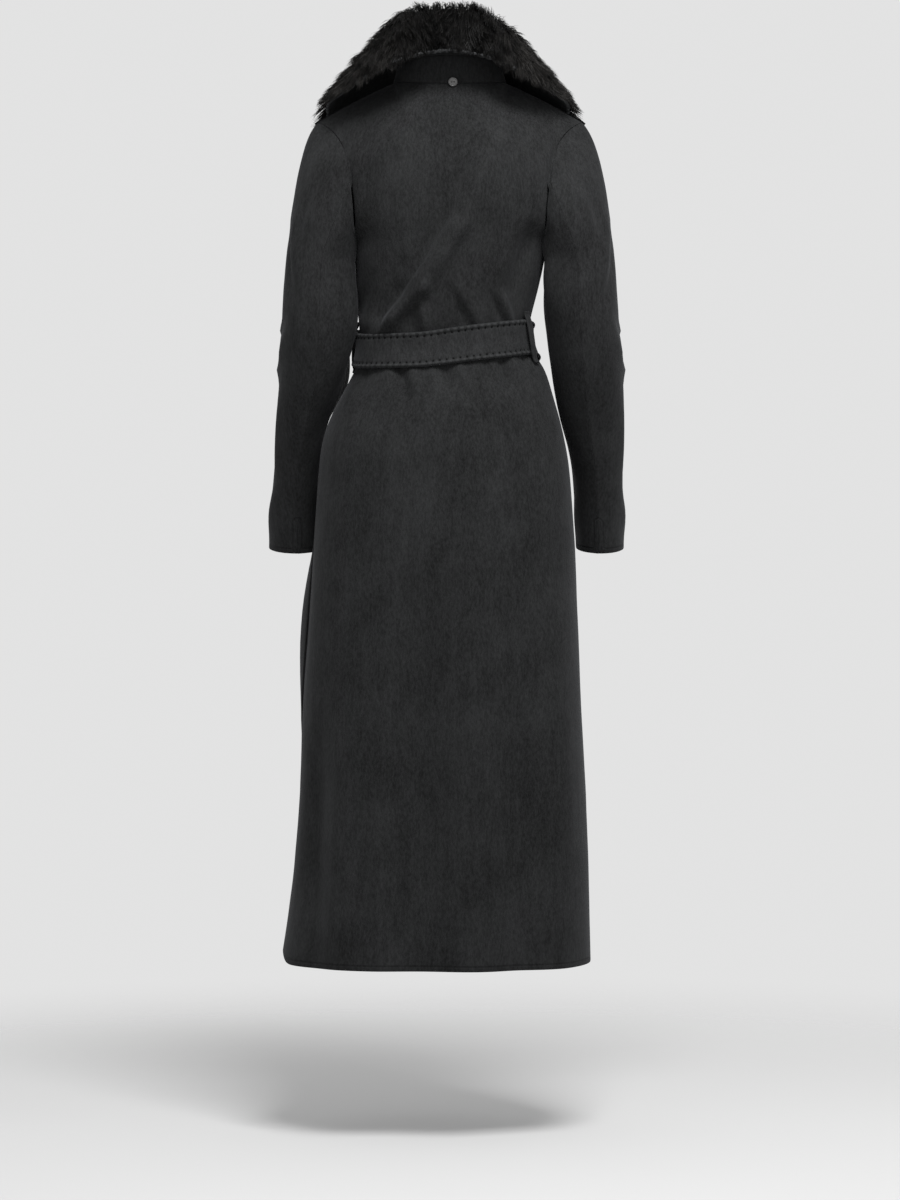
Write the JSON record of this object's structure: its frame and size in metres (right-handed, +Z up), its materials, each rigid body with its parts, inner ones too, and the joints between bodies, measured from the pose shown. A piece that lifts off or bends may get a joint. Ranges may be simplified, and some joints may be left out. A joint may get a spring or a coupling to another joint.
{
  "type": "wool coat",
  "caption": "Long black double-faced wool wrap coat, hanging as worn, with a long-haired turned-down collar and a tie belt picked along its edges.",
  "frame": {"origin": "middle of the neck opening, level with the back neck seam", "axes": "+Z up along the wearer, -Y to the front, +X to the wearer's left"},
  "size_m": [0.507, 0.3097, 1.3285],
  "materials": {
    "wool": "brushed black wool, soft short nap",
    "belt_wool": "brushed black wool, picked along the edges",
    "fur": "long glossy black hair",
    "button": "dark grey horn look, polished"
  },
  "bodies": {
    "root": {"back": "wool", "front_left": "wool", "front_right": "wool", "top_sleeve_left": "wool", "under_sleeve_left": "wool", "top_sleeve_right": "wool", "under_sleeve_right": "wool", "collar_stand": "wool", "undercollar": "wool", "fur_collar": "fur", "collar_button": "button", "belt": "belt_wool", "belt_knot": "belt_wool", "belt_end_left": "belt_wool", "belt_end_right": "belt_wool", "belt_loop_left": "belt_wool", "belt_loop_right": "belt_wool"}
  },
  "joints": []
}
